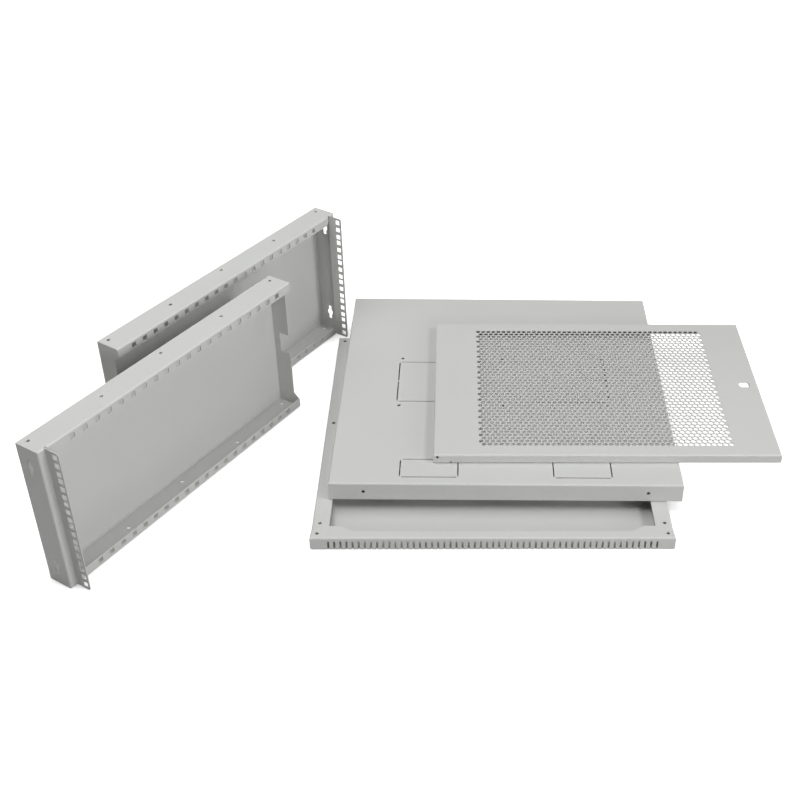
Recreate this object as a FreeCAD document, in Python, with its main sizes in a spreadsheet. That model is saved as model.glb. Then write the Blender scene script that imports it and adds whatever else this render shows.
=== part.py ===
import FreeCAD, Part
import os
import re
import Sketcher

# Knocked-down chassis of a six-unit, 19-inch wall cabinet, in powder-coated sheet steel.
# Five folded pieces lie as they are unpacked: a base tray on the floor, the roof panel on it,
# the perforated door on the roof, and two side panels standing on their long flanges beside them.
# Millimetres. The row's origin is the centre of the base tray's underside, +Y to the back, +Z up.

SIZES = {
    # sheet and fixings
    "sheet_gauge": 1.5,
    "bend_radius": 3.0,             # outside of every fold
    "screw_hole": 6.0,
    "cage_hole": 9.5,               # square hole for a cage nut
    # cabinet; its width and the side panels' sizes follow from these and the rails, see FOLLOWS
    "cabinet_depth": 600.0,
    "door_recess": 24.0,            # the side panels start this far behind the front
    # base tray
    "base_height": 24.0,
    "tray_flare": 1.5,              # the front corners stand out past the side walls
    "tray_lip": 30.0,               # inward lips of base tray and roof
    "lip_middle": 17.0,             # the front and back lips narrow to this
    "lip_shoulder": 20.0,           # full-width length of those lips, beside each corner
    "lip_slant": 18.0,              # length of the slant between the two widths
    "vent_count": 55,
    "vent_end": 30.0,               # first slot's middle from the tray's end
    "vent_width": 3.2,
    "vent_top": 17.0,               # height of the slots' upper ends
    "vent_wrap": 4.0,               # how far the slots run into the floor
    "corner_hole_side": 11.5,
    "corner_hole_front": 12.0,
    # side panels
    "panel_depth": 48.0,
    "panel_lip": 18.0,
    "lip_hole": 9.0,
    "lip_hole_drop": 10.0,          # square holes below the fold of the lip
    "lip_hole_front": 65.0,         # first and last hole from the panel's two ends
    "lip_hole_back": 36.0,
    "lip_hole_count": 20,
    "flange_hole_inset": 14.0,      # screw holes from the outside of the cabinet
    "flange_hole_step": 7.5,        # every second hole stands further in
    "flange_hole_end": 13.5,        # first and last hole from the panel's ends
    "tail_flange": 36.0,            # depth of the flange at the back end
    "tail_chamfer": 10.0,
    "notch_height": 40.0,
    "notch_depth": 21.0,
    "keyhole_inset": 23.5,
    "keyhole_end": 37.5,            # middle of each keyhole from the panel's upper and lower faces
    "keyhole_bore": 12.0,
    "keyhole_slot": 7.0,
    "keyhole_length": 30.0,
    # 19-inch rail folded on the front end of each side panel
    "rack_units": 6,
    "unit_height": 44.45,
    "unit_gap": 15.875,             # between the holes of one unit
    "rack_hole_span": 465.1,        # between the two rails' hole lines
    "rack_clearance": 2.65,         # above and below the rack units
    "rail_width": 27.95,            # how far the rail stands out of the panel's lips
    "rail_return": 15.0,
    "rail_margin": 8.5,             # hole line to the rail's free edge
    "rail_corner": 4.0,
    "rail_relief": 3.0,             # gap between rail and panel lips
    "relief_round": 9.0,            # corner of each lip beside the rail
    # roof panel
    "roof_height": 36.0,
    "roof_hole_side": 59.0,
    "roof_hole_height": 18.5,
    "slit_width": 2.0,
    "slit_tie": 3.0,                # metal left at the ends of each slit
    "fan_length": 391.0,
    "fan_width": 127.5,
    "fan_hole_span": 191.0,
    "fan_hole_spread": 153.0,
    "cable_length": 99.0,
    "cable_width": 47.5,
    "cable_span": 262.0,            # between the centres of the two cable knock-outs
    "cable_setback": 42.5,
    # perforated door
    "door_height": 420.0,
    "door_thickness": 18.0,
    "door_lip": 10.0,
    "perforation_pitch": 68.0,      # a coarse field with the open share of the real, 10 mm one
    "perforation_web": 13.0,
    "perforation_columns": 6,
    "perforation_rows": 6,
    "lock_bore": 20.0,
    "lock_flats": 17.0,
    "lock_inset": 25.5,
    "pivot_bore": 5.0,
    "pivot_side": 7.0,
    "pivot_drop": 5.0,
    # how the pieces lie
    "roof_right": 26.5,
    "roof_back": 93.0,
    "roof_turn": -0.6,
    "door_right": 200.0,
    "door_back": 59.5,
    "left_panel_gap": 406.0,        # rail end of each panel from the tray's left side
    "left_panel_front": 64.0,       # and in front of the tray's front
    "left_panel_turn": 57.7,
    "right_panel_gap": 41.5,
    "right_panel_back": 91.0,       # and behind the tray's back
    "right_panel_turn": 57.3,
}

# Sizes that follow from others.
FOLLOWS = {
    "hole_line": "(panel_depth + rail_width - rail_margin)",  # rack holes from the cabinet's outside
    "cabinet_width": "(rack_hole_span + 2 * hole_line)",
    "panel_length": "(cabinet_depth - door_recess)",
    "panel_height": "(rack_units * unit_height + 2 * rack_clearance)",
    "lip_hole_pitch": "((panel_length - lip_hole_front - lip_hole_back) / (lip_hole_count - 1))",
    "flange_hole_pitch": "((panel_length - 2 * flange_hole_end) / 4)",
    "vent_pitch": "((cabinet_width - 2 * vent_end) / (vent_count - 1))",
}


def make_sheet(doc):
    """The spreadsheet that drives every size, one row for each name."""
    sheet = doc.addObject("Spreadsheet::Sheet", "Sizes")
    for row, (name, value) in enumerate(SIZES.items(), 1):
        sheet.set(f"A{row}", name)
        sheet.set(f"B{row}", str(value))
        sheet.setAlias(f"B{row}", name)
    doc.recompute()
    return sheet


def full(text):
    """The expression with its sizes looked up in the sheet, or spelled out where they follow from others."""
    def spell(word):
        name = word[0]
        return full(FOLLOWS[name]) if name in FOLLOWS else f"Sizes.{name}" if name in SIZES else name

    return re.sub("[a-z_]+", spell, text)


# ---- sketches and features --------------------------------------------------------------------

def sketch_on(body, name, role, offset="0"):
    """A sketch on one of the body's own origin planes, moved along the plane's normal."""
    sketch = body.newObject("Sketcher::SketchObject", name)
    support = next(f for f in body.Origin.OriginFeatures if f.Role == role)
    sketch.AttachmentSupport = [(support, "")]
    sketch.MapMode = "FlatFace"
    sketch.setExpression("AttachmentOffset.Base.z", full(offset))
    return sketch


def bind(sketch, kind, parts, text):
    """A dimension of the sketch, bound to its expression."""
    constraint = Sketcher.Constraint(kind, *parts, float(sketch.evalExpression(full(text))))
    index = sketch.addConstraint(constraint)
    sketch.setExpression(f"Constraints[{index}]", full(text))


def pin(sketch, edge, end, spot):
    """Holds one end of an edge at its place from the sketch's origin."""
    bind(sketch, "DistanceX", (-1, 1, edge, end), spot[0])
    bind(sketch, "DistanceY", (-1, 1, edge, end), spot[1])


def point(sketch, spot):
    return FreeCAD.Vector(*(float(sketch.evalExpression(full(text))) for text in spot), 0)


def outline(sketch, spots):
    """A closed outline of straight edges through the given corners."""
    first = sketch.GeometryCount
    corners = [point(sketch, spot) for spot in spots]
    for start, end in zip(corners, corners[1:] + corners[:1]):
        sketch.addGeometry(Part.LineSegment(start, end), False)
    for k, spot in enumerate(spots):
        after = first + (k + 1) % len(spots)
        sketch.addConstraint(Sketcher.Constraint("Coincident", first + k, 2, after, 1))
        pin(sketch, first + k, 1, spot)


def rectangle(sketch, low, high):
    outline(sketch, [low, (high[0], low[1]), high, (low[0], high[1])])


def centred(sketch, centre, length, width):
    """A rectangle round a centre."""
    x, y = centre
    rectangle(sketch, (f"{x} - ({length}) / 2", f"{y} - ({width}) / 2"),
              (f"{x} + ({length}) / 2", f"{y} + ({width}) / 2"))


def circle(sketch, centre, bore):
    radius = float(sketch.evalExpression(full(bore))) / 2
    edge = sketch.addGeometry(Part.Circle(point(sketch, centre), FreeCAD.Vector(0, 0, 1), radius))
    pin(sketch, edge, 3, centre)
    bind(sketch, "Diameter", (edge,), bore)


def pad(body, sketch, length, name):
    feature = body.newObject("PartDesign::Pad", name)
    feature.Profile = sketch
    feature.setExpression("Length", full(length))
    return feature


def pocket(body, sketch, depth, name, upward=False):
    """Cuts from the sketch's plane against its normal, or along it if upward."""
    feature = body.newObject("PartDesign::Pocket", name)
    feature.Profile = sketch
    feature.setExpression("Length", full(depth))
    feature.Reversed = upward
    return feature


def edges_where(shape, test):
    return [f"Edge{k}" for k, edge in enumerate(shape.Edges, 1) if test(edge)]


def fold(body, base, test, radius, name):
    """Rounds the edges of base that pass the test, as a press brake would."""
    body.Document.recompute()
    names = edges_where(base.Shape, test)
    if not names:
        raise RuntimeError(f"{name}: no edge to round on {base.Name}")
    feature = body.newObject("PartDesign::Fillet", name)
    feature.Base = (base, names)
    feature.setExpression("Radius", full(radius))
    return feature


def repeat(body, feature, sketch, name, along, spacing, count, second=None):
    """A linear pattern of one cut, in one or two directions of its sketch."""
    pattern = body.newObject("PartDesign::LinearPattern", name)
    pattern.Originals = [feature]
    pattern.Direction = (sketch, [along])
    pattern.Mode = "Spacing"
    pattern.setExpression("Offset", full(spacing))
    pattern.setExpression("Occurrences", full(count))
    if second:
        pattern.Direction2 = (sketch, [second[0]])
        pattern.Mode2 = "Spacing"
        pattern.setExpression("Offset2", full(second[1]))
        pattern.setExpression("Occurrences2", full(second[2]))
    body.Tip = pattern
    return pattern


def near(value, *targets):
    return any(abs(value - target) < 0.01 for target in targets)


def level_edge(edge, axis, spots):
    """True for a straight edge along an axis at one of the given places of the other two axes."""
    ends = [vertex.Point for vertex in edge.Vertexes]
    if len(ends) != 2 or edge.Curve.TypeId != "Part::GeomLine":
        return False
    others = [k for k in range(3) if k != axis]
    if any(abs(ends[0][k] - ends[1][k]) > 0.01 for k in others):
        return False
    return any(near(ends[0][others[0]], a) and near(ends[0][others[1]], b) for a, b in spots)


def place(body, x, y, z, turn, rolled=False):
    """Binds where the body lies: a spot, a turn about +Z and, if rolled, half a turn about its X."""
    for axis, text in (("x", x), ("y", y), ("z", z)):
        body.setExpression(f"Placement.Base.{axis}", full(text))
    roll = FreeCAD.Rotation(FreeCAD.Vector(1, 0, 0), 180 if rolled else 0)
    angle = float(body.evalExpression(full(turn)))
    body.Placement.Rotation = FreeCAD.Rotation(FreeCAD.Vector(0, 0, 1), angle) * roll


# ---- base tray and roof: shallow boxes with inward lips ---------------------------------------

def folded_box(doc, label, height, open_top, vented=False):
    """A box of sheet, closed but for a lipped opening in its top or its underside.

    A vented one has flared front corners, and its front sill is left sharp for the slots across it."""
    flare = "tray_flare" if vented else "0"
    body = doc.addObject("PartDesign::Body", label)
    plan = sketch_on(body, label + "_plan", "XY_Plane")
    box_plan(plan, "0", flare)
    block = pad(body, plan, height, label + "_block")
    round_rims(body, block, label, sill=not vented)

    inside = sketch_on(body, label + "_inside", "XY_Plane", "sheet_gauge")
    box_plan(inside, "sheet_gauge", flare)
    pocket(body, inside, f"{height} - 2 * sheet_gauge", label + "_hollow", upward=True)
    mouth = sketch_on(body, label + "_mouth", "XY_Plane", height if open_top else "0")
    lipped_opening(mouth, "cabinet_width / 2", "cabinet_depth / 2")
    pocket(body, mouth, "2 * sheet_gauge", label + "_opening", upward=not open_top)
    return body


def box_plan(sketch, inset, flare):
    """The box seen from above; behind the door recess its sides stand in by the flare."""
    half, deep = f"cabinet_width / 2 - {inset}", f"cabinet_depth / 2 - {inset}"
    right = [(half, f"0 - ({deep})"), (f"{half} - {flare}", deep)]
    if flare != "0":
        front = "0 - cabinet_depth / 2"
        right[1:1] = [(half, f"{front} + door_recess / 4"), (f"{half} - {flare}", f"{front} + door_recess")]
    outline(sketch, right + [(f"0 - ({x})", y) for x, y in reversed(right)])


def round_rims(body, block, label, sill=True):
    """Rounds the top and bottom rims of a block, where its walls are folded, with or without its sill."""
    body.Document.recompute()
    box = block.Shape.BoundBox

    def on_rim(edge):
        ends = [vertex.Point for vertex in edge.Vertexes]
        level = near(ends[0].z - ends[1].z, 0)
        at_sill = all(near(end.y, box.YMin) and near(end.z, box.ZMin) for end in ends)
        return level and (sill or not at_sill)

    return fold(body, block, on_rim, "bend_radius", label + "_bends")


def lipped_opening(sketch, half, deep):
    """The opening inside the lips: wide lips at the sides, narrower ones at front and back."""
    side = f"{half} - tray_lip"
    wide, narrow = f"{deep} - tray_lip", f"{deep} - lip_middle"
    quarter = [(side, wide), (f"{side} - lip_shoulder", wide),
               (f"{side} - lip_shoulder - lip_slant", narrow)]
    mirrored = [(f"0 - ({x})", y) for x, y in reversed(quarter)]
    back = quarter + mirrored
    front = [(x, f"0 - ({y})") for x, y in reversed(back)]
    outline(sketch, back + front)


def side_hole_spots():
    """The screw holes that base tray and roof share with the side panels, on both side lips."""
    start = "door_recess + flange_hole_end"
    for side in ("0 - (cabinet_width / 2 - flange_hole_inset)", "cabinet_width / 2 - flange_hole_inset"):
        for k in (0, 2, 4):
            yield side, f"{start} + {k} * flange_hole_pitch - cabinet_depth / 2"


def make_base(doc):
    body = folded_box(doc, "base_tray", "base_height", open_top=True, vented=True)
    holes = sketch_on(body, "base_holes", "XY_Plane", "base_height")
    for spot in side_hole_spots():
        circle(holes, spot, "screw_hole")
    for side in ("0 - (cabinet_width / 2 - corner_hole_side)", "cabinet_width / 2 - corner_hole_side"):
        circle(holes, (side, "corner_hole_front - cabinet_depth / 2"), "screw_hole")
    pocket(body, holes, "2 * sheet_gauge", "base_drilling")

    slot = sketch_on(body, "base_slot", "YZ_Plane", "0 - (vent_count - 1) / 2 * vent_pitch - vent_width / 2")
    front = "0 - cabinet_depth / 2"
    rectangle(slot, (f"{front} - sheet_gauge", "0 - sheet_gauge"), (f"{front} + vent_wrap", "vent_top"))
    cut = pocket(body, slot, "vent_width", "base_vent", upward=True)
    repeat(body, cut, slot, "base_vents", "N_Axis", "vent_pitch", "vent_count")
    place(body, "0", "0", "0", "0")
    return body


def slits(sketch, centre, length, width, parted):
    """Four slits round a knock-out, with a tie at each corner and, if parted, halfway up its ends."""
    x, y = centre
    for sign in ("-", "+"):
        centred(sketch, (x, f"{y} {sign} {width} / 2"), f"{length} - 2 * slit_tie", "slit_width")
        end = f"{x} {sign} {length} / 2"
        if not parted:
            centred(sketch, (end, y), "slit_width", f"{width} - 2 * slit_tie")
            continue
        for half in ("-", "+"):
            centred(sketch, (end, f"{y} {half} {width} / 4"), "slit_width", f"{width} / 2 - 1.5 * slit_tie")


def make_roof(doc):
    body = folded_box(doc, "roof_panel", "roof_height", open_top=False)
    holes = sketch_on(body, "roof_lip_holes", "XY_Plane", "2 * sheet_gauge")
    for spot in side_hole_spots():
        circle(holes, spot, "screw_hole")
    pocket(body, holes, "3 * sheet_gauge", "roof_lip_drilling")

    skin = sketch_on(body, "roof_knockouts", "XY_Plane", "roof_height")
    slits(skin, ("0", "0"), "fan_length", "fan_width", parted=True)
    row = "cable_setback - cabinet_depth / 2"
    for side in ("0 - cable_span / 2", "cable_span / 2"):
        slits(skin, (side, row), "cable_length", "cable_width", parted=False)
    for x in ("0 - fan_hole_span", "0", "fan_hole_span"):
        for y in ("0 - fan_hole_spread / 2", "fan_hole_spread / 2"):
            circle(skin, (x, y), "screw_hole")
    pocket(body, skin, "2 * sheet_gauge", "roof_slits")

    face = sketch_on(body, "roof_front_holes", "XZ_Plane", "cabinet_depth / 2")
    for side in ("0 - (cabinet_width / 2 - roof_hole_side)", "cabinet_width / 2 - roof_hole_side"):
        circle(face, (side, "roof_hole_height"), "screw_hole")
    pocket(body, face, "2 * sheet_gauge", "roof_front_drilling")
    place(body, "roof_right", "roof_back", "base_height", "roof_turn")
    return body


# ---- perforated door --------------------------------------------------------------------------

def hexagon(sketch, centre, across):
    """A hexagon with two corners on the line of its row."""
    x, y = centre
    corner, flat = f"{across} / 2 / cos(30 deg)", f"{across} / 2"
    ring = [(f"{x} + {corner}", y), (f"{x} + {corner} / 2", f"{y} + {flat}"),
            (f"{x} - {corner} / 2", f"{y} + {flat}"), (f"{x} - {corner}", y),
            (f"{x} - {corner} / 2", f"{y} - {flat}"), (f"{x} + {corner} / 2", f"{y} - {flat}")]
    outline(sketch, ring)


def make_door(doc):
    body = doc.addObject("PartDesign::Body", "door_panel")
    half, deep = "cabinet_width / 2", "door_height / 2"
    plan = sketch_on(body, "door_plan", "XY_Plane")
    rectangle(plan, (f"0 - {half}", f"0 - {deep}"), (half, deep))
    block = pad(body, plan, "door_thickness", "door_block")
    round_rims(body, block, "door")
    inside = sketch_on(body, "door_inside", "XY_Plane", "sheet_gauge")
    rectangle(inside, (f"sheet_gauge - {half}", f"sheet_gauge - {deep}"),
              (f"{half} - sheet_gauge", f"{deep} - sheet_gauge"))
    pocket(body, inside, "door_thickness - 2 * sheet_gauge", "door_hollow", upward=True)
    mouth = sketch_on(body, "door_mouth", "XY_Plane")
    rectangle(mouth, (f"door_lip - {half}", f"door_lip - {deep}"),
              (f"{half} - door_lip", f"{deep} - door_lip"))
    pocket(body, mouth, "2 * sheet_gauge", "door_opening", upward=True)

    lock = sketch_on(body, "door_lock", "XY_Plane", "door_thickness")
    double_d(lock, ("cabinet_width / 2 - lock_inset", "0"), "lock_bore", "lock_flats")
    pocket(body, lock, "2 * sheet_gauge", "door_lock_bore")
    pivot = sketch_on(body, "door_pivot", "XZ_Plane", "door_height / 2")
    circle(pivot, ("pivot_side - cabinet_width / 2", "door_thickness - pivot_drop"), "pivot_bore")
    pocket(body, pivot, "door_height", "door_pivot_bores")

    cells = sketch_on(body, "door_cells", "XY_Plane", "door_thickness")
    row = "perforation_pitch * cos(30 deg)"
    left = "0 - (perforation_columns - 0.5) / 2 * perforation_pitch"
    first = f"0 - (perforation_rows - 1) / 2 * {row}"
    across_flats = "(perforation_pitch - perforation_web)"
    hexagon(cells, (f"{left} + perforation_pitch / 2", first), across_flats)
    hexagon(cells, (left, f"{first} + {row}"), across_flats)
    cut = pocket(body, cells, "2 * sheet_gauge", "door_cell")
    repeat(body, cut, cells, "door_perforation", "H_Axis", "perforation_pitch", "perforation_columns",
           second=("V_Axis", f"2 * {row}", "perforation_rows / 2"))
    place(body, "door_right", "door_back", "base_height + roof_height", "0")
    return body


def double_d(sketch, centre, bore, flats):
    """A round hole with two flats, which holds a cam lock from turning."""
    x, y = centre
    reach = f"sqrt({bore} ^ 2 - {flats} ^ 2) / 2"
    middle = point(sketch, centre)
    corner = point(sketch, (f"{x} + {reach}", f"{y} + {flats} / 2"))
    dx, dy = corner.x - middle.x, corner.y - middle.y
    radius = float(sketch.evalExpression(full(bore))) / 2
    upper_left = FreeCAD.Vector(middle.x - dx, middle.y + dy, 0)
    lower_left = FreeCAD.Vector(middle.x - dx, middle.y - dy, 0)
    lower_right = FreeCAD.Vector(middle.x + dx, middle.y - dy, 0)
    first = sketch.GeometryCount
    sketch.addGeometry(Part.LineSegment(corner, upper_left))
    sketch.addGeometry(Part.Arc(upper_left, middle - FreeCAD.Vector(radius, 0, 0), lower_left))
    sketch.addGeometry(Part.LineSegment(lower_left, lower_right))
    sketch.addGeometry(Part.Arc(lower_right, middle + FreeCAD.Vector(radius, 0, 0), corner))
    pin(sketch, first, 1, (f"{x} + {reach}", f"{y} + {flats} / 2"))
    pin(sketch, first, 2, (f"{x} - {reach}", f"{y} + {flats} / 2"))
    pin(sketch, first + 2, 1, (f"{x} - {reach}", f"{y} - {flats} / 2"))
    pin(sketch, first + 2, 2, (f"{x} + {reach}", f"{y} - {flats} / 2"))
    left, right = first + 1, first + 3
    sketch.addConstraint(Sketcher.Constraint("Coincident", left, 1, first, 2))
    sketch.addConstraint(Sketcher.Constraint("Coincident", left, 2, first + 2, 1))
    sketch.addConstraint(Sketcher.Constraint("Coincident", right, 1, first + 2, 2))
    sketch.addConstraint(Sketcher.Constraint("Coincident", right, 2, first, 1))
    bind(sketch, "Radius", (left,), f"{bore} / 2")
    bind(sketch, "Radius", (right,), f"{bore} / 2")


# ---- side panels with their 19-inch rails -----------------------------------------------------
# In a side panel's own frame X runs from the rail to the back end, Y from the skin to the lips
# and Z up. It is the same upside down, so the left panel is the right one rolled half a turn.

def make_side_panel(doc, label):
    body = doc.addObject("PartDesign::Body", label)
    plan = sketch_on(body, label + "_plan", "XY_Plane")
    rectangle(plan, ("0", "0"), ("panel_length", "panel_depth"))
    block = pad(body, plan, "panel_height", label + "_block")
    doc.recompute()
    box = block.Shape.BoundBox
    ends = (box.ZMin, box.ZMax)
    long_folds = [(y, z) for y in (box.YMin, box.YMax) for z in ends]
    upright_folds = [(box.XMin, box.YMin), (box.XMax, box.YMin), (box.XMin, box.YMax)]
    fold(body, block, lambda e: level_edge(e, 0, long_folds) or level_edge(e, 2, upright_folds),
         "bend_radius", label + "_bends")
    inside = sketch_on(body, label + "_inside", "XY_Plane", "sheet_gauge")
    rectangle(inside, ("sheet_gauge", "sheet_gauge"),
              ("panel_length - sheet_gauge", "panel_depth - sheet_gauge"))
    pocket(body, inside, "panel_height - 2 * sheet_gauge", label + "_hollow", upward=True)
    open_side(body, label)
    tail_end(body, label)
    rail(body, label)
    panel_holes(body, label)
    return body


def open_side(body, label):
    """Opens the panel between its lips and the strip that carries the rail."""
    window = sketch_on(body, label + "_window", "XZ_Plane", "0 - panel_depth")
    rectangle(window, ("rail_return", "panel_lip"), ("panel_length + sheet_gauge", "panel_height - panel_lip"))
    pocket(body, window, "sheet_gauge", label + "_opening", upward=True)


def tail_end(body, label):
    """The back end's flange: shallower than the panel, slanted at its ends, notched in the middle."""
    tail = sketch_on(body, label + "_tail", "YZ_Plane", "panel_length + sheet_gauge")
    inner = "panel_depth - sheet_gauge"
    outline(tail, [("tail_flange", "panel_lip + tail_chamfer"), (inner, "panel_lip"),
                   (inner, "panel_height - panel_lip"),
                   ("tail_flange", "panel_height - panel_lip - tail_chamfer")])
    pocket(body, tail, "3 * sheet_gauge", label + "_tail_edge")
    notch = sketch_on(body, label + "_notch", "YZ_Plane", "panel_length + sheet_gauge")
    centred(notch, ("tail_flange - notch_depth / 2 + sheet_gauge / 2", "panel_height / 2"),
            "notch_depth + sheet_gauge", "notch_height")
    pocket(body, notch, "3 * sheet_gauge", label + "_tail_notch")


def rail(body, label):
    """The rack rail stands out of the panel from the strip at the front end."""
    blade = sketch_on(body, label + "_rail", "XY_Plane")
    rectangle(blade, ("rail_return - sheet_gauge", "panel_depth - sheet_gauge"),
              ("rail_return", "panel_depth + rail_width"))
    strip = pad(body, blade, "panel_height", label + "_rail_blade")
    body.Document.recompute()
    box = strip.Shape.BoundBox
    tips = [(box.YMax, box.ZMin), (box.YMax, box.ZMax)]
    fold(body, strip, lambda e: level_edge(e, 0, tips), "rail_corner", label + "_rail_corners")

    relief = sketch_on(body, label + "_relief", "XZ_Plane", "0 - panel_depth")
    for low, high in (("0", "panel_lip"), ("panel_height - panel_lip", "panel_height")):
        rectangle(relief, ("rail_return", low), ("rail_return + rail_relief", high))
    cut = pocket(body, relief, "bend_radius", label + "_rail_relief", upward=True)
    start = float(body.evalExpression(full("rail_return + rail_relief")))
    lips = [float(body.evalExpression(full(text))) for text in ("panel_lip", "panel_height - panel_lip")]
    fold(body, cut, lambda e: level_edge(e, 1, [(start, z) for z in lips]), "relief_round",
         label + "_relief_corners")

    square = sketch_on(body, label + "_rack_unit", "YZ_Plane", "rail_return + sheet_gauge")
    lowest = "rack_clearance + unit_height / 2 - unit_gap"
    for k in range(3):
        centred(square, ("hole_line", f"{lowest} + {k} * unit_gap"), "cage_hole", "cage_hole")
    cut = pocket(body, square, "3 * sheet_gauge", label + "_rack_cut")
    repeat(body, cut, square, label + "_rack_holes", "V_Axis", "unit_height", "rack_units")


def panel_holes(body, label):
    drill = sketch_on(body, label + "_flange_holes", "XY_Plane", "panel_height")
    for k in range(5):
        inset = "flange_hole_inset" if k % 2 == 0 else "flange_hole_inset + flange_hole_step"
        circle(drill, (f"flange_hole_end + {k} * flange_hole_pitch", inset), "screw_hole")
    pocket(body, drill, "panel_height", label + "_flange_drilling")

    lips = sketch_on(body, label + "_lip_holes", "XZ_Plane", "0 - panel_depth")
    for height in ("lip_hole_drop", "panel_height - lip_hole_drop"):
        centred(lips, ("lip_hole_front", height), "lip_hole", "lip_hole")
    cut = pocket(body, lips, "2 * sheet_gauge", label + "_lip_cut", upward=True)
    repeat(body, cut, lips, label + "_lip_row", "H_Axis", "lip_hole_pitch", "lip_hole_count")

    keys = sketch_on(body, label + "_keyholes", "YZ_Plane", "2 * sheet_gauge")
    for height in ("keyhole_end", "panel_height - keyhole_end"):
        keyhole(keys, ("keyhole_inset", height))
    pocket(body, keys, "3 * sheet_gauge", label + "_hanging_keys")


def keyhole(sketch, centre):
    """A hanging hole that works both ways up: a slot with a wider middle."""
    x, y = centre
    slot, bore, tall = "keyhole_slot / 2", "keyhole_bore / 2", "keyhole_length / 2"
    ring = [(slot, bore), (slot, tall), (f"0 - {slot}", tall), (f"0 - {slot}", bore),
            (f"0 - {bore}", slot), (f"0 - {bore}", f"0 - {slot}"), (f"0 - {slot}", f"0 - {bore}"),
            (f"0 - {slot}", f"0 - {tall}"), (slot, f"0 - {tall}"), (slot, f"0 - {bore}"),
            (bore, f"0 - {slot}"), (bore, slot)]
    outline(sketch, [(f"{x} + {dx}", f"{y} + {dy}") for dx, dy in ring])


# ---- the whole chassis ------------------------------------------------------------------------

def check(doc, bodies):
    """Stops if any feature failed or any piece isn't one sound solid."""
    for item in doc.Objects:
        if "Invalid" in item.State or "Error" in item.State:
            raise RuntimeError(f"{item.Name} failed: {item.State} {item.getStatusString()}")
    for body in bodies:
        if body.Shape.isNull() or not body.Shape.isValid():
            raise RuntimeError(f"{body.Label} has no sound shape")
        if len(body.Shape.Solids) != 1:
            raise RuntimeError(f"{body.Label} has {len(body.Shape.Solids)} solids")


doc = FreeCAD.newDocument("chassis")
make_sheet(doc)
left = make_side_panel(doc, "side_panel_left")
place(left, "0 - cabinet_width / 2 - left_panel_gap", "0 - cabinet_depth / 2 - left_panel_front",
      "panel_height", "left_panel_turn", rolled=True)
right = make_side_panel(doc, "side_panel_right")
place(right, "0 - cabinet_width / 2 - right_panel_gap", "cabinet_depth / 2 + right_panel_back",
      "0", "right_panel_turn + 180")
bodies = [make_base(doc), make_roof(doc), make_door(doc), left, right]
doc.recompute()
check(doc, bodies)
os.makedirs("parts", exist_ok=True)
for body in bodies:
    body.Shape.exportStep(f"parts/{body.Label}.step")
    print(body.Label, round(body.Shape.Volume), [round(v, 1) for v in (
        body.Shape.BoundBox.XMin, body.Shape.BoundBox.XMax, body.Shape.BoundBox.YMin,
        body.Shape.BoundBox.YMax, body.Shape.BoundBox.ZMin, body.Shape.BoundBox.ZMax)])
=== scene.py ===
import math

import bmesh
import bpy
from mathutils import Matrix, Vector
from mathutils.geometry import delaunay_2d_cdt


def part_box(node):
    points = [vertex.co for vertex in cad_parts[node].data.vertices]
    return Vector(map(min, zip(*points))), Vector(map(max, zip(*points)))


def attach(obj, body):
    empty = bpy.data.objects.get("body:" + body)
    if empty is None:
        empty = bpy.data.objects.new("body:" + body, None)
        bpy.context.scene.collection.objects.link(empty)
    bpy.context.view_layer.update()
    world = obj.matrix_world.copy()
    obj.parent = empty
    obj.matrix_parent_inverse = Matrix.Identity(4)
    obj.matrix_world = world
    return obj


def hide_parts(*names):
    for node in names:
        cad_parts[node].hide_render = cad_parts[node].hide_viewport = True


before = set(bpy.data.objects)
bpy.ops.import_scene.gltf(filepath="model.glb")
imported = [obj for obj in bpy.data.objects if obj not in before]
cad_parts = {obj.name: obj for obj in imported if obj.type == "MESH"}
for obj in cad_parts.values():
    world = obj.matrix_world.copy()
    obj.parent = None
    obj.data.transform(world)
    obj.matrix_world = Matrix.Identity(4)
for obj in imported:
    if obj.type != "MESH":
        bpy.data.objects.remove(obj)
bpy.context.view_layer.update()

# Looks of a knocked-down rack cabinet chassis in light grey powder coat. The CAD solids are shown as they
# are, but for the door, whose fine perforation is cut here. Metres.

# ---- camera -----------------------------------------------------------------------------------
# A step to the left of the tray's middle, looking down at 35 degrees.

EYE = Vector((-0.06325, -1.75795, 1.36236))
PITCH, YAW, ROLL = math.radians(35.28), math.radians(1.47), math.radians(0.94)
SENSOR, LENS = 36.0, 54.114
SHIFT = (-0.1, -0.0186)


def add_camera():
    forward = Vector((math.sin(YAW) * math.cos(PITCH), math.cos(YAW) * math.cos(PITCH), -math.sin(PITCH)))
    level = Vector((math.cos(YAW), -math.sin(YAW), 0.0))
    upright = level.cross(forward)
    right = math.cos(ROLL) * level + math.sin(ROLL) * upright
    up = math.cos(ROLL) * upright - math.sin(ROLL) * level
    data = bpy.data.cameras.new("camera")
    data.sensor_width = SENSOR
    data.lens = LENS
    data.shift_x, data.shift_y = SHIFT
    camera = bpy.data.objects.new("camera", data)
    camera.matrix_world = Matrix((
        (right.x, up.x, -forward.x, EYE.x),
        (right.y, up.y, -forward.y, EYE.y),
        (right.z, up.z, -forward.z, EYE.z),
        (0.0, 0.0, 0.0, 1.0),
    ))
    bpy.context.scene.collection.objects.link(camera)
    bpy.context.scene.camera = camera


add_camera()
bpy.context.scene.view_settings.view_transform = "Standard"

# ---- materials --------------------------------------------------------------------------------

COAT_TINT = (0.60, 0.606, 0.589)
DARKEST, LIGHTEST = 0.955, 1.035        # how far the coat's tone drifts
MIX_A, MIX_B, MIX_RESULT = 6, 7, 2      # the colour sockets of a Mix node


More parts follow.
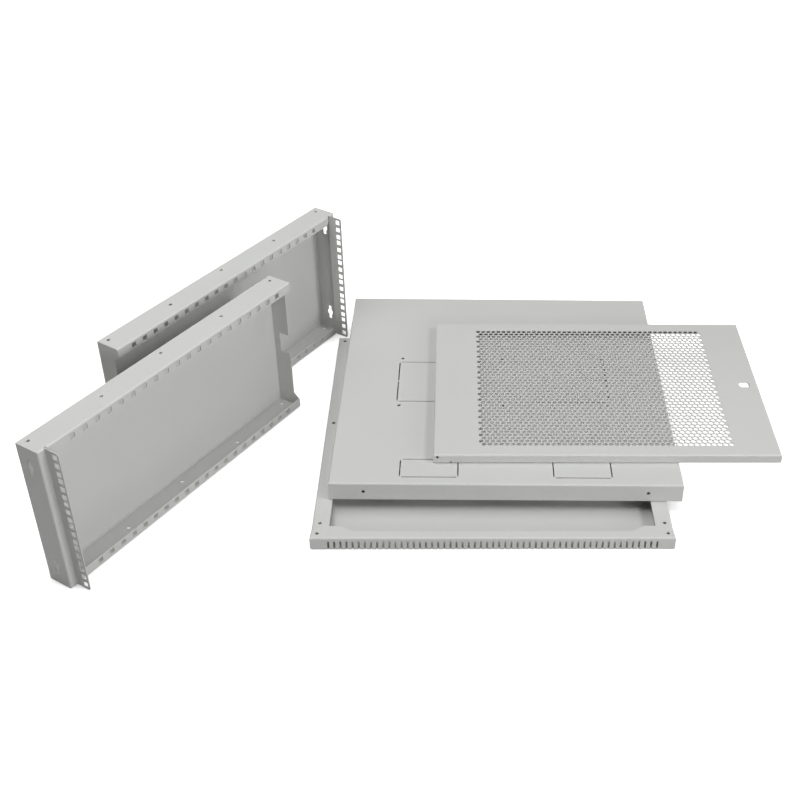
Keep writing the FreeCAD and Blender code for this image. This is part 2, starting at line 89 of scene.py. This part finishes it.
class Nodes:
    """Short hand for building a node tree."""

    def __init__(self, tree):
        self.tree = tree
        tree.nodes.clear()

    def add(self, kind, inputs=None, **settings):
        """A node with its settings, each input linked to a socket or set to a value."""
        node = self.tree.nodes.new(kind)
        for name, value in settings.items():
            setattr(node, name, value)
        for socket, value in (inputs or {}).items():
            if isinstance(value, bpy.types.NodeSocket):
                self.tree.links.new(value, node.inputs[socket])
            else:
                node.inputs[socket].default_value = value
        return node


def new_material(name):
    material = bpy.data.materials.new(name)
    material.use_nodes = True
    return material, Nodes(material.node_tree)


def grey(level):
    return (level, level, level, 1.0)


def powder_coat(name, tint):
    """Fine-textured powder on steel: a faint orange peel, a grain of specks and slow drifts in tone."""
    material, n = new_material(name)
    place = n.add("ShaderNodeTexCoord").outputs["Object"]
    drift = n.add("ShaderNodeTexNoise", {"Vector": place, "Scale": 3.5, "Detail": 3.0, "Roughness": 0.55})
    speck = n.add("ShaderNodeTexNoise", {"Vector": place, "Scale": 900.0, "Detail": 2.0, "Roughness": 0.6})
    peel = n.add("ShaderNodeTexNoise", {"Vector": place, "Scale": 420.0, "Detail": 2.0, "Roughness": 0.5})
    tone = n.add("ShaderNodeMix", {
        "Factor": drift.outputs["Fac"],
        MIX_A: (*[channel * DARKEST for channel in tint], 1.0),
        MIX_B: (*[channel * LIGHTEST for channel in tint], 1.0),
    }, data_type="RGBA")
    grain = n.add("ShaderNodeMapRange", {"Value": speck.outputs["Fac"], "From Min": 0.3, "From Max": 0.7,
                                         "To Min": 0.965, "To Max": 1.03})
    colour = n.add("ShaderNodeVectorMath", {0: tone.outputs[MIX_RESULT], 1: grain.outputs["Result"]},
                   operation="MULTIPLY")
    gloss = n.add("ShaderNodeMapRange", {"Value": peel.outputs["Fac"], "From Min": 0.3, "From Max": 0.7,
                                         "To Min": 0.42, "To Max": 0.54})
    bump = n.add("ShaderNodeBump", {"Height": peel.outputs["Fac"], "Strength": 0.12, "Distance": 0.0004})
    shader = n.add("ShaderNodeBsdfPrincipled", {
        "Base Color": colour.outputs["Vector"],
        "Roughness": gloss.outputs["Result"],
        "Normal": bump.outputs["Normal"],
        "Specular IOR Level": 0.42,
    })
    n.add("ShaderNodeOutputMaterial", {"Surface": shader.outputs["BSDF"]})
    return material


COAT = powder_coat("powder_coat", COAT_TINT)
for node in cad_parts.values():
    node.data.materials.clear()
    node.data.materials.append(COAT)

# ---- pieces -----------------------------------------------------------------------------------


def piece(name, build, material, place):
    """An object whose mesh build() makes round the origin and that is then put in its place."""
    bm = bmesh.new()
    build(bm)
    bmesh.ops.recalc_face_normals(bm, faces=bm.faces)
    mesh = bpy.data.meshes.new(name)
    bm.to_mesh(mesh)
    bm.free()
    mesh.transform(Matrix.Translation(place))
    mesh.materials.append(material)
    mesh.shade_flat()
    made = bpy.data.objects.new(name, mesh)
    bpy.context.scene.collection.objects.link(made)
    return made


def drill(made, cutter):
    """Cut the closed shapes of one piece out of another, for good."""
    cut = made.modifiers.new("drill", "BOOLEAN")
    cut.object = cutter
    cut.solver = "EXACT"
    shape = bpy.data.meshes.new_from_object(made.evaluated_get(bpy.context.evaluated_depsgraph_get()))
    made.modifiers.clear()
    made.data = shape
    bpy.data.objects.remove(cutter)


# ---- the perforated door ----------------------------------------------------------------------

door_low, door_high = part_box("door_panel")
DOOR_CENTRE = (door_low + door_high) / 2
DOOR_HALF = (door_high - door_low) / 2
SHEET = 0.0015
BEND = 0.003            # outside of every fold
BEND_STEPS = 6
LIP = 0.010

CELL_PITCH = 0.0100     # along a row
ROW_PITCH = 0.00875
CELL_ACROSS = 0.0080    # across the flats
CELL_COLUMNS = 44
CELL_ROWS = 42
STAGGER = 0.25          # of a pitch, to the right and to the left in turn

LOCK_INSET = 0.0255     # from the door's right end
LOCK_RADIUS = 0.010
LOCK_HALF_FLATS = 0.0085
LOCK_STEPS = 10

PIVOT_BORE = 0.005
PIVOT_END = 0.007       # from the door's left end
PIVOT_DROP = 0.005      # below its face
RELIEF_BORE = 0.004
RELIEF_END = 0.030
RELIEF_RISE = 0.0026    # above the front wall's lower edge
BORE_SEGMENTS = 24

SAME_PLACE = 1e-6
CDT_INSIDE = 1          # keep only what lies inside the outlines
CDT_CLOSE = 1e-7


def hexagon(x, y):
    """A cell with two corners on the line of its row."""
    radius = CELL_ACROSS / 2 / math.cos(math.radians(30))
    angles = [math.radians(60 * k) for k in range(6)]
    return [(x + radius * math.cos(a), y + radius * math.sin(a)) for a in angles]


def double_d(x, y):
    """The cam lock's hole: round, with a flat to the front and one to the back."""
    reach = math.asin(LOCK_HALF_FLATS / LOCK_RADIUS)
    angles = [-reach + 2 * reach * k / LOCK_STEPS for k in range(LOCK_STEPS + 1)]
    return [(x + LOCK_RADIUS * math.cos(a + turn), y + LOCK_RADIUS * math.sin(a + turn))
            for turn in (0.0, math.pi) for a in angles]


def cells():
    """The outlines of all cells, row by row from the front."""
    for row in range(CELL_ROWS):
        y = (row - (CELL_ROWS - 1) / 2) * ROW_PITCH
        stagger = STAGGER if row % 2 == CELL_ROWS % 2 else -STAGGER
        for column in range(CELL_COLUMNS):
            yield hexagon((column - (CELL_COLUMNS - 1) / 2 + stagger) * CELL_PITCH, y)


def perforated_skin(bm):
    """The door's flat skin inside its folded rim, with every cell cut through it."""
    a, b = DOOR_HALF.x - BEND, DOOR_HALF.y - BEND
    loops = [[(-a, -b), (a, -b), (a, b), (-a, b)], double_d(DOOR_HALF.x - LOCK_INSET, 0.0), *cells()]
    outlines = []
    points = []
    for loop in loops:
        outlines.append(list(range(len(points), len(points) + len(loop))))
        points.extend(Vector(p) for p in loop)
    flat, _, triangles, _, _, owners = delaunay_2d_cdt(points, [], outlines, CDT_INSIDE, CDT_CLOSE)
    top = [bm.verts.new((p.x, p.y, DOOR_HALF.z)) for p in flat]
    under = [bm.verts.new((p.x, p.y, DOOR_HALF.z - SHEET)) for p in flat]
    open_edges = {}
    for triangle, owner in zip(triangles, owners):
        if owner != [0]:        # the triangle lies in a hole
            continue
        bm.faces.new([top[k] for k in triangle])
        bm.faces.new([under[k] for k in reversed(triangle)])
        for k, j in zip(triangle, triangle[1:] + triangle[:1]):
            if (j, k) in open_edges:
                del open_edges[(j, k)]
            else:
                open_edges[(k, j)] = True

    def inward(k):
        return max(abs(flat[k].x) - a, abs(flat[k].y) - b) < -SAME_PLACE

    for k, j in open_edges:
        if inward(k) or inward(j):
            bm.faces.new((top[j], top[k], under[k], under[j]))


def arc(inset, height, radius, start, stop):
    """Points of one bend in the rim's section, from one angle to another in degrees."""
    angles = [math.radians(start + (stop - start) * k / BEND_STEPS) for k in range(BEND_STEPS + 1)]
    return [(inset + radius * math.cos(a), height + radius * math.sin(a)) for a in angles]


def folded_rim(bm):
    """The door's walls and return lips: one folded section carried round the four sides."""
    z = DOOR_HALF.z
    inner = BEND - SHEET
    section = arc(BEND, z - BEND, BEND, 90, 180) + arc(BEND, BEND - z, BEND, 180, 270)
    section += [(LIP, -z), (LIP, SHEET - z)]
    section += arc(BEND, BEND - z, inner, 270, 180) + arc(BEND, z - BEND, inner, 180, 90)
    rings = []
    for inset, height in section:
        x, y = DOOR_HALF.x - inset, DOOR_HALF.y - inset
        corners = ((-x, -y), (x, -y), (x, y), (-x, y))
        rings.append([bm.verts.new((*corner, height)) for corner in corners])
    for ring, after in zip(rings, rings[1:]):
        for k in range(4):
            bm.faces.new((ring[k], after[k], after[(k + 1) % 4], ring[(k + 1) % 4]))


def build_door(bm):
    perforated_skin(bm)
    folded_rim(bm)
    bmesh.ops.remove_doubles(bm, verts=bm.verts, dist=SAME_PLACE)


def build_drills(bm):
    """Cutters for the pivot holes in both long walls and the small relief at the foot of the front one."""
    x, y, z = DOOR_HALF
    for bore, place in (
            (PIVOT_BORE, (PIVOT_END - x, -y, z - PIVOT_DROP)),
            (PIVOT_BORE, (PIVOT_END - x, y, z - PIVOT_DROP)),
            (RELIEF_BORE, (RELIEF_END - x, -y, RELIEF_RISE - z))):
        turn = Matrix.Translation(place) @ Matrix.Rotation(math.radians(90), 4, "X")
        bmesh.ops.create_cone(bm, cap_ends=True, segments=BORE_SEGMENTS, radius1=bore / 2, radius2=bore / 2,
                              depth=2 * BEND, matrix=turn)


door = piece("door_perforated", build_door, COAT, DOOR_CENTRE)
drill(door, piece("drills", build_drills, COAT, DOOR_CENTRE))
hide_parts("door_panel")
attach(door, "root")

# ---- stage ------------------------------------------------------------------------------------

FLOOR_HALF = 20.0
FLOOR_DROP = 0.0004                 # keeps the floor clear of the pieces' undersides
FLOOR_SHOWN, FLOOR_BOUNCED = 0.90, 0.33
GLOW_NEAR = 0.80                    # how far the floor near the pieces is lifted towards white
FADE_START, FADE_END = 0.9, 2.0     # where it goes over to full white, from the origin
PAINTED_SHADE_REACH = 0.04                          # below this distance to a piece the floor loses its lift, as painted contact shade


def seen_as_white(n):
    """1 for camera, mirrored and transmitted rays, which show the background, and 0 for all others."""
    path = n.add("ShaderNodeLightPath")
    mirrored = n.add("ShaderNodeMath", {0: path.outputs["Is Glossy Ray"],
                                        1: path.outputs["Is Transmission Ray"]}, operation="MAXIMUM")
    return n.add("ShaderNodeMath", {0: path.outputs["Is Camera Ray"], 1: mirrored.outputs["Value"]},
                 operation="MAXIMUM").outputs["Value"]


def stage_material():
    """White where it is seen, but for the shadow under the pieces, partly cast by the lamps and partly
    painted shade from ambient occlusion near them, and darker to bounced light.
    """
    material, n = new_material("stage_floor")
    spot = n.add("ShaderNodeVectorMath", {0: n.add("ShaderNodeNewGeometry").outputs["Position"]},
                 operation="LENGTH")
    fade = n.add("ShaderNodeMapRange", {"Value": spot.outputs["Value"], "From Min": FADE_START,
                                        "From Max": FADE_END, "To Min": GLOW_NEAR, "To Max": 1.0})
    # painted contact shade: the floor's white glow dims where ambient occlusion finds a piece close by
    painted_contact_shade = n.add("ShaderNodeAmbientOcclusion", {"Distance": PAINTED_SHADE_REACH}, samples=8)
    glow = n.add("ShaderNodeMath", {0: fade.outputs["Result"], 1: painted_contact_shade.outputs["AO"]}, operation="MULTIPLY")
    shown = n.add("ShaderNodeBsdfDiffuse", {"Color": grey(FLOOR_SHOWN)})
    bounced = n.add("ShaderNodeBsdfDiffuse", {"Color": grey(FLOOR_BOUNCED)})
    white = n.add("ShaderNodeEmission", {"Color": grey(1.0), "Strength": glow.outputs["Value"]})
    bright = n.add("ShaderNodeAddShader", {0: shown.outputs[0], 1: white.outputs[0]})
    mixed = n.add("ShaderNodeMixShader", {0: seen_as_white(n), 1: bounced.outputs[0], 2: bright.outputs[0]})
    n.add("ShaderNodeOutputMaterial", {"Surface": mixed.outputs[0]})
    return material


def build_floor(bm):
    bmesh.ops.create_grid(bm, x_segments=1, y_segments=1, size=FLOOR_HALF)


floor = piece("floor", build_floor, stage_material(), Vector((0.0, 0.0, -FLOOR_DROP)))

# ---- light ------------------------------------------------------------------------------------

AIR = 0.02              # the world's strength as light
SEEN = 1.0              # and where it is seen as background


def area_light(name, place, aim, size, power):
    """A rectangular lamp at a place, aimed at a point, its size in metres and its power in watts."""
    data = bpy.data.lights.new(name, "AREA")
    data.shape = "RECTANGLE"
    data.size, data.size_y = size
    data.energy = power
    light = bpy.data.objects.new(name, data)
    light.location = place
    light.rotation_euler = (Vector(aim) - Vector(place)).to_track_quat("-Z", "Y").to_euler()
    bpy.context.scene.collection.objects.link(light)


def add_world():
    world = bpy.data.worlds.new("studio")
    bpy.context.scene.world = world
    world.use_nodes = True
    n = Nodes(world.node_tree)
    air = n.add("ShaderNodeBackground", {"Color": grey(1.0), "Strength": AIR})
    backdrop = n.add("ShaderNodeBackground", {"Color": grey(1.0), "Strength": SEEN})
    mixed = n.add("ShaderNodeMixShader", {0: seen_as_white(n), 1: air.outputs[0], 2: backdrop.outputs[0]})
    n.add("ShaderNodeOutputWorld", {"Surface": mixed.outputs[0]})


area_light("overhead", (-0.6, -0.1, 2.6), (-0.2, 0.0, 0.0), (2.0, 1.4), 41.0)
area_light("key", (2.1, -1.31, 2.47), (0.0, 0.0, 0.05), (0.8, 0.8), 35.0)
area_light("left", (-2.2, -0.6, 2.6), (-0.2, 0.0, 0.05), (0.9, 0.9), 6.0)
area_light("front", (0.9, -2.8, 0.9), (0.0, 0.0, 0.05), (1.2, 0.7), 17.0)
area_light("front_right", (2.4, -2.0, 1.0), (0.0, 0.0, 0.05), (1.2, 0.7), 22.0)
area_light("back", (-1.6, 2.4, 0.55), (-0.3, 0.0, 0.1), (1.6, 0.7), 10.0)
area_light("back_right", (2.3, 1.6, 0.7), (0.1, 0.0, 0.1), (1.2, 0.7), 8.0)
add_world()
